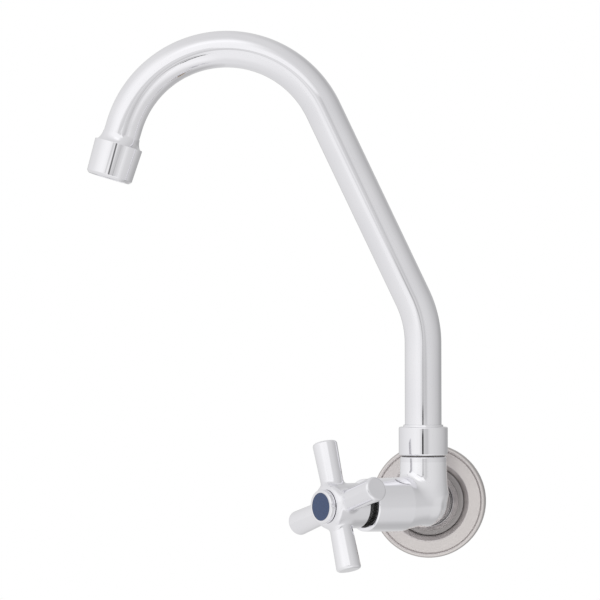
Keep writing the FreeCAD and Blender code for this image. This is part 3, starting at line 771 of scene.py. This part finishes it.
def build_outlet():
    spigot = 10.96
    outline = [(9.565, -5.0), (9.565, 3.0), (8.525, 3.0), (8.525, 7.0), (spigot, 7.0),
               (spigot, 0), (11.6, 0)]
    outline += flare((11.6, 0), (9.815, -5.0))
    ferrule = spun(outline, OUTLET)
    weigh(piece("tube_ferrule", ferrule, "spout", "chrome", CHROME_TURNED, "outlet_ferrule"))

    shell = spun([(11.0, 0), (12.7, 0), (12.1, 17.2), (10.9, 18.4), (9.4, 18.4), (9.4, 17.0),
                  (11.0, 17.0)],
                 OUTLET, [((12.7, 0), 0.3, 3), ((12.1, 17.2), 0.3, 3), ((10.9, 18.4), 0.15, 2),
                          ((9.4, 18.4), 0.3, 3)])
    weigh(piece("aerator_sleeve", shell, "spout", "chrome", CHROME_TURNED, "aerator_shell"))


build_nut()
build_tube()
build_outlet()


# ---------------------------------------------------------------- handle

SKIRT_RADIUS = 11.6
SKIRT_REAR = 44.8
SKIRT_CUT = 48.4
HUB_FRONT = 65.3
HUB_FRONT_RADIUS = 9.0
ARM_CENTRE = 57.9
ARM_REACH = 33.8
ARM_ROOT = 5.8
ARM_TIP = 6.35
ARM_TIP_ROUND = 1.4
SKIRT_BORE = 10.5


def arm_place(side):
    outward = Matrix.Rotation(side * math.pi / 2, 3, "Z") @ Vector((0, 1, 0))
    return HANDLE @ axes(UP * ARM_CENTRE, outward, UP)


def build_handle():
    rough = bmesh.new()
    stub(rough, SKIRT_RADIUS, 46, HUB_FRONT, HANDLE)
    for side in range(4):
        stub(rough, ARM_ROOT, 0, ARM_REACH, arm_place(side), ARM_TIP)
    cuts = [(ELBOW + BARREL_WAY * SKIRT_CUT, -BARREL_WAY)]
    cast("handle_casting", rough, handle_solid, 0.4, cuts, "handle", "chrome", CHROME_CAST,
         "cross_handle")

    skirt = spun([(SKIRT_BORE, SKIRT_REAR), (SKIRT_RADIUS, SKIRT_REAR),
                  (SKIRT_RADIUS, SKIRT_CUT), (SKIRT_BORE, SKIRT_CUT)],
                 HANDLE, [((SKIRT_RADIUS, SKIRT_REAR), 0.3, 3)])
    weigh(piece("handle_skirt", skirt, "handle", "chrome", CHROME_CAST, "cross_handle"))


def handle_solid(points):
    r = SKIRT_RADIUS - HUB_FRONT_RADIUS
    hub = turned_distance(points, HANDLE, [(0, 30), (HUB_FRONT_RADIUS, 30),
                                           (HUB_FRONT_RADIUS, HUB_FRONT - r),
                                           (0, HUB_FRONT - r)], r)
    t = ARM_TIP_ROUND
    bar = [(0, 0), (ARM_ROOT - t, 0), (ARM_ROOT - t, 10.5), (ARM_TIP - t, ARM_REACH - t),
           (0, ARM_REACH - t)]
    arms = np.full(len(points), np.inf)
    for side in range(4):
        arms = np.minimum(arms, turned_distance(points, arm_place(side), bar, t))
    return blended(hub, arms, 2.2)


def build_index():
    cap = spun([(0, 66.3), (5.96, 66.3), (5.96, 62.7), (7.36, 62.7), (7.36, HUB_FRONT + 0.3),
                (8.7, HUB_FRONT + 0.3), (8.8, 68.5), (7.09, 68.5), (7.09, 67.6), (0, 67.6)],
               HANDLE, [((8.8, 68.5), 0.9, 5), ((7.09, 68.5), 0.15, 2)])
    weigh(piece("cap_ring", cap, "handle", "chrome", CHROME_TURNED, "index_cap"))

    disc = spun([(0, 67.6), (7.05, 67.6), (7.05, 68.3), (0, 68.3)], HANDLE,
                [((7.05, 68.3), 0.12, 2)])
    weigh(piece("index_face", disc, "handle", "index_blue", INDEX_BLUE, "index_disc"))


build_handle()
build_index()


def build_sleeve():
    sleeve = spun([(8.54, 39.3), (12.46, 39.3), (12.46, 39.76), (10.4, 39.76), (9.94, 40.4),
                   (9.94, 50.5), (8.54, 50.5)], BARREL, [((9.94, 50.5), 0.3, 3)])
    weigh(piece("stem_sleeve", sleeve, "body", "black_polymer", BLACK, "dust_sleeve"))


build_sleeve()

# ---------------------------------------------------------------- CAD nodes that stay

FINISHES = {
    BRASS: ["seat_ring", "bonnet", "gland_nut", "jumper_valve", "washer_nut", "spindle",
            "spout_foot"],
    FIBRE: ["bonnet_gasket"],
    PACKING: ["stem_packing"],
    NYLON: ["thrust_washer", "slip_ring", "aerator_insert"],
    RUBBER: ["seat_washer", "spout_rings", "aerator_washer"],
    SCREEN_WIRE: ["aerator_screens"],
    SCREW_STEEL: ["handle_screw"],
}
for finish, names in FINISHES.items():
    for name in names:
        for material_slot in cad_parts[name].material_slots:
            material_slot.material = finish


# ---------------------------------------------------------------- studio

CAMERA_AZIMUTH = math.radians(6.70)
CAMERA_ELEVATION = math.radians(-0.83)
CAMERA_ROLL = math.radians(-0.11)
CAMERA_DISTANCE = 2.0
CAMERA_TARGET = Vector((-0.06540, -0.030, 0.10616))
CAMERA_LENS = 3811 / 600 * 36


def build_camera():
    back = Vector((math.sin(CAMERA_AZIMUTH) * math.cos(CAMERA_ELEVATION),
                   -math.cos(CAMERA_AZIMUTH) * math.cos(CAMERA_ELEVATION),
                   math.sin(CAMERA_ELEVATION)))
    right = UP.cross(back).normalized()
    upright = back.cross(right)
    turn = Matrix((right, upright, back)).transposed() @ Matrix.Rotation(CAMERA_ROLL, 3, "Z")
    data = bpy.data.cameras.new("camera")
    data.sensor_width = 36
    data.lens = CAMERA_LENS
    data.clip_start = 0.01
    camera = bpy.data.objects.new("camera", data)
    camera.matrix_world = (Matrix.Translation(CAMERA_TARGET + back * CAMERA_DISTANCE)
                           @ turn.to_4x4())
    bpy.context.scene.collection.objects.link(camera)
    bpy.context.scene.camera = camera


build_camera()

# Brightness of the white tent by degrees to the right of the camera: at eye level, above, below
LEVEL_STOPS = [(-180, 0.42), (-150, 0.74), (-120, 0.81), (-95, 0.87), (-60, 0.93), (-36, 0.98),
               (5, 0.97), (20, 0.82), (31, 0.76), (54, 0.72), (75, 0.66), (100, 0.57),
               (130, 0.42), (180, 0.42)]
UPPER_STOPS = [(-180, 0.72), (-120, 0.83), (-95, 0.86), (-72, 0.96), (-45, 1.04), (5, 1.03),
               (18, 0.82), (28, 0.76), (54, 0.72), (75, 0.65), (100, 0.57), (125, 0.48),
               (150, 0.55), (180, 0.72)]
LOWER_STOPS = [(-180, 0.74), (-120, 0.80), (-60, 0.86), (-25, 0.93), (5, 0.95), (25, 1.02),
               (40, 0.92), (60, 0.74), (90, 0.69), (103, 0.67), (118, 0.57), (135, 0.50),
               (160, 0.52), (180, 0.70)]
ZENITH = 0.77
NADIR = 0.83
GLOW = 0.12

# Front cloth of the tent, by metres to the right of the camera: under it, at its height, over
# it and at the top
CLOTH_UNDER = [(-1.6, 0.97), (-0.7, 0.98), (-0.35, 0.95), (0.0, 0.93), (0.08, 0.82), (0.3, 0.80),
               (0.45, 0.76), (0.65, 0.66), (0.8, 0.70), (1.0, 0.77), (1.6, 0.78)]
CLOTH_LEVEL = [(-1.6, 0.97), (-0.75, 0.95), (-0.5, 0.82), (-0.24, 0.77), (-0.1, 0.72),
               (0.0, 0.62), (0.1, 0.65), (0.3, 0.61), (0.6, 0.60), (0.72, 0.64), (0.9, 0.73),
               (1.3, 0.76), (1.6, 0.77)]
CLOTH_OVER = [(-1.6, 0.98), (-0.6, 0.91), (-0.16, 0.88), (-0.09, 0.75), (0.0, 0.72), (0.25, 0.67),
              (0.4, 0.62), (0.5, 0.65), (0.65, 0.74), (1.0, 0.76), (1.6, 0.74)]
CLOTH_TOP = [(-1.6, 1.05), (-0.6, 1.02), (0.35, 1.02), (0.5, 0.93), (0.65, 0.81), (0.8, 0.765),
             (1.6, 0.75)]
CLOTH_WIDTH = 3.2
CLOTH_LOW = -0.9
CLOTH_HIGH = 1.3
GAP = grey(0.004)


def build_world():
    world = bpy.data.worlds.new("tent")
    bpy.context.scene.world = world
    world.use_nodes = True
    s = Shader(world.node_tree)
    ray = s.add("ShaderNodeTexCoord", out=0)
    x, y, z = s.split(s.add("ShaderNodeMapping", {"vector_type": "NORMAL"}, ray,
                            None, (0, 0, -CAMERA_AZIMUTH)))
    degree = 180 / math.pi
    bearing = s.add("ShaderNodeMath", {"operation": "ARCTAN2"}, x, y * -1) * degree
    height = s.add("ShaderNodeMath", {"operation": "ARCSINE"}, z) * degree

    def around(stops):
        return s.add("ShaderNodeValToRGB",
                     {"stops": [((a + 180) / 360, grey(v)) for a, v in stops]},
                     bearing / 360 + 0.5)

    upper = s.mix_colour(height.smooth(32, 82), around(UPPER_STOPS), grey(ZENITH))
    lower = s.mix_colour((height * -1).smooth(50, 85), around(LOWER_STOPS), grey(NADIR))
    tent = s.mix_colour(height.smooth(4, 14), around(LEVEL_STOPS), upper)
    tent = s.mix_colour((height * -1).smooth(2, 16), tent, lower)
    lamp = (1 - abs(height - 49).smooth(4, 14)) * (1 - abs(bearing + 5).smooth(10, 35))
    tent = s.mix_colour(lamp * GLOW, tent, grey(2.0))

    path = s.tree.nodes.new("ShaderNodeLightPath")
    seen = Wire(s, path.outputs["Is Camera Ray"])
    colour = s.mix_colour(seen, tent, grey(1.0))
    s.add("ShaderNodeOutputWorld", None,
          s.add("ShaderNodeBackground", None, Color=colour, Strength=1.0))


def studio(right, front, height, turn):
    """Frame of an upright cloth: its place in metres, to the right and front, and its turn."""
    front_way = Vector((math.sin(CAMERA_AZIMUTH), -math.cos(CAMERA_AZIMUTH), 0))
    right_way = UP.cross(front_way)
    facing = front_way * math.cos(turn) + right_way * math.sin(turn)
    return axes((right_way * right + front_way * front + UP * height) / MM, facing,
                UP.cross(facing))


def hang(name, place, size, middle=(0, 0)):
    """An upright cloth of a size in metres."""
    bm = bmesh.new()
    shape = Matrix.Translation((middle[0] * 1000, middle[1] * 1000, 0)) @ Matrix.Diagonal(
        (size[0] * 500, size[1] * 500, 1, 1))
    bmesh.ops.create_grid(bm, x_segments=1, y_segments=1, size=1, matrix=shape)
    settle(bm, place)
    mesh = bpy.data.meshes.new(name)
    bm.to_mesh(mesh)
    bm.free()
    cloth = bpy.data.objects.new(name, mesh)
    bpy.context.scene.collection.objects.link(cloth)
    made, s = material(name)
    mesh.materials.append(made)
    x, y, _ = s.split(s.place(place))
    return s, x, y


def show_to_chrome(s, share, tone):
    """A cloth that only glossy rays see, as far as its share of each point goes."""
    path = s.tree.nodes.new("ShaderNodeLightPath")
    mirrored = Wire(s, path.outputs["Is Glossy Ray"])
    clear = s.add("ShaderNodeBsdfTransparent")
    lit = s.add("ShaderNodeEmission", None, Color=tone)
    s.finish(s.add("ShaderNodeMixShader", None, mirrored * share, clear, lit))


def build_front_cloth():
    """Front of the tent round the camera."""
    middle = (CLOTH_LOW + CLOTH_HIGH) / 2
    s, x, y = hang("front_cloth", studio(0, CAMERA_DISTANCE, 0, 0),
                   (CLOTH_WIDTH, CLOTH_HIGH - CLOTH_LOW), (0, middle))

    def across(stops):
        return s.add("ShaderNodeValToRGB",
                     {"stops": [(a / CLOTH_WIDTH + 0.5, grey(v)) for a, v in stops]},
                     x / CLOTH_WIDTH + 0.5)

    tone = s.mix_colour(y.smooth(0.03, 0.12), across(CLOTH_LEVEL), across(CLOTH_OVER))
    fold = y.smooth(0.27, 0.33) * (1 - y.smooth(0.42, 0.68)) * x.smooth(-1.15, -0.95)
    fold = fold * (1 - x.smooth(-0.2, -0.12))
    tone = s.mix_colour(fold * 0.9, tone, grey(0.70))
    right = x.smooth(-0.14, -0.08)
    edge = right * (x * 0.62 - 0.27) + 0.6
    tone = s.mix_colour((y - edge).smooth(0.0, 0.06), tone, across(CLOTH_TOP))
    under = s.mix_colour((y * -1).smooth(0.2, 0.7) * 0.8, across(CLOTH_UNDER), grey(0.95))
    tone = s.mix_colour((y * -1).smooth(0.05, 0.09), tone, under)

    hem = (1 - abs(x).smooth(1.3, 1.6)) * (1 - abs(y - middle).smooth(0.8, 1.1))
    show_to_chrome(s, hem, tone)


# Dark slits of the tent, each seen only in the chrome: place, size and depth of tone
VALVE_SLIT = studio(-0.037, 0.5, 0.07, 0)
VALVE_SLIT_SIZE = (0.07, 0.18)
OUTLET_SLIT = studio(-0.172, 0.12, 0.176, math.radians(29))
OUTLET_SLIT_SIZE = (0.05, 0.05)
OUTLET_SLIT_DEPTH = 0.8


def build_slits():
    """Dark slits of the tent: before the valve and before the outlet."""
    s, x, y = hang("valve_slit", VALVE_SLIT, VALVE_SLIT_SIZE)
    gap = (1 - abs(x).smooth(0.024, 0.030)) * y.smooth(-0.068, -0.062)
    gap = gap * (1 - y.smooth(-0.044, -0.034) * 0.72) * (1 - y.smooth(0.03, 0.07))
    show_to_chrome(s, gap, GAP)

    s, x, y = hang("outlet_slit", OUTLET_SLIT, OUTLET_SLIT_SIZE)
    gap = (1 - abs(x).smooth(0.003, 0.009)) * (1 - abs(y).smooth(0.014, 0.021))
    show_to_chrome(s, gap * OUTLET_SLIT_DEPTH, GAP)


FLOOR_RADIUS = 1.6
FLOOR_HEIGHT = -0.32


def build_floor():
    bm = bmesh.new()
    bmesh.ops.create_circle(bm, cap_ends=True, segments=96, radius=FLOOR_RADIUS,
                            matrix=Matrix.Translation((0, 0, FLOOR_HEIGHT)))
    mesh = bpy.data.meshes.new("floor")
    bm.to_mesh(mesh)
    bm.free()
    floor = bpy.data.objects.new("floor", mesh)
    bpy.context.scene.collection.objects.link(floor)
    made, s = material("pale_floor")
    cloud = s.noise(s.place(), 3.0, 2.0, 0.5)
    shade = s.mix_colour(cloud, grey(0.86), grey(0.90))
    lit = s.add("ShaderNodeBsdfDiffuse", None, Color=shade)
    path = s.tree.nodes.new("ShaderNodeLightPath")
    seen = Wire(s, path.outputs["Is Camera Ray"])
    mirrored = Wire(s, path.outputs["Is Glossy Ray"])
    glow = s.add("ShaderNodeEmission", None, Color=grey(1.0))
    pale = s.add("ShaderNodeMixShader", None, seen * 0.8, lit, glow)
    clear = s.add("ShaderNodeBsdfTransparent")
    s.finish(s.add("ShaderNodeMixShader", None, mirrored, pale, clear))
    mesh.materials.append(made)


build_world()
build_front_cloth()
build_slits()
build_floor()

bpy.context.scene.view_settings.view_transform = "Standard"
